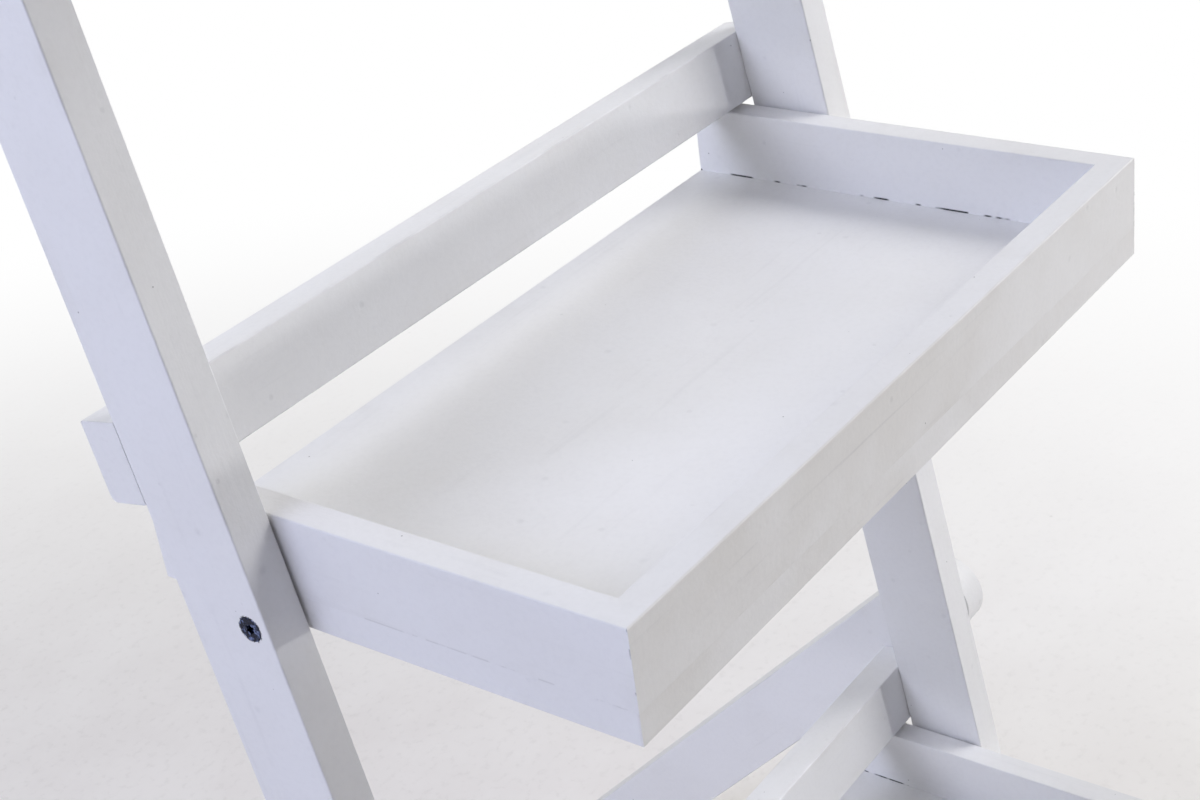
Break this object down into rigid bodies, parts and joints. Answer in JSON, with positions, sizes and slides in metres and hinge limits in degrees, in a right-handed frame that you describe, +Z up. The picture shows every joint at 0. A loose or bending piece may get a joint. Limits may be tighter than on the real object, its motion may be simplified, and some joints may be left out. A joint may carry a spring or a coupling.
{
  "type": "step shelf",
  "caption": "Folding step shelf in white painted wood: leaning legs carry shallow tray shelves that fold up, and a hinged strut frame props it from behind.",
  "frame": {"origin": "on the floor, in the middle of the footprint's bounding box", "axes": "+X to the right, +Y to the rear, +Z up; the trays' front rims face -Y"},
  "size_m": [0.441, 0.4858, 0.9754],
  "materials": {
    "painted_wood": "satin white paint over smooth wood",
    "screw": "black countersunk screw"
  },
  "bodies": {
    "front_frame": {"left_leg": "painted_wood", "right_leg": "painted_wood", "bottom_rail": "painted_wood", "middle_rail": "painted_wood", "top_rail": "painted_wood", "strut_screws": "screw"},
    "bottom_tray": {"bottom_base_panel": "painted_wood", "bottom_left_rim": "painted_wood", "bottom_right_rim": "painted_wood", "bottom_front_rim": "painted_wood", "bottom_tray_screws": "screw"},
    "middle_tray": {"middle_base_panel": "painted_wood", "middle_left_rim": "painted_wood", "middle_right_rim": "painted_wood", "middle_front_rim": "painted_wood", "middle_tray_screws": "screw"},
    "top_tray": {"top_base_panel": "painted_wood", "top_left_rim": "painted_wood", "top_right_rim": "painted_wood", "top_front_rim": "painted_wood", "top_tray_screws": "screw"},
    "rear_frame": {"left_strut": "painted_wood", "right_strut": "painted_wood", "cross_rail": "painted_wood"}
  },
  "joints": [
    {"name": "bottom_tray_fold", "type": "hinge", "parent": "front_frame", "child": "bottom_tray", "pos_m": [0, -0.09221, 0.1835], "axis": [-1, 0, 0], "range_deg": [0, 93]},
    {"name": "middle_tray_fold", "type": "hinge", "parent": "front_frame", "child": "middle_tray", "pos_m": [0, -0.02827, 0.5285], "axis": [-1, 0, 0], "range_deg": [0, 93]},
    {"name": "top_tray_fold", "type": "hinge", "parent": "front_frame", "child": "top_tray", "pos_m": [0, 0.03567, 0.8735], "axis": [-1, 0, 0], "range_deg": [0, 93]},
    {"name": "rear_frame_fold", "type": "hinge", "parent": "front_frame", "child": "rear_frame", "pos_m": [0, -0.06138, 0.2895], "axis": [-1, 0, 0], "range_deg": [0, 54]}
  ]
}
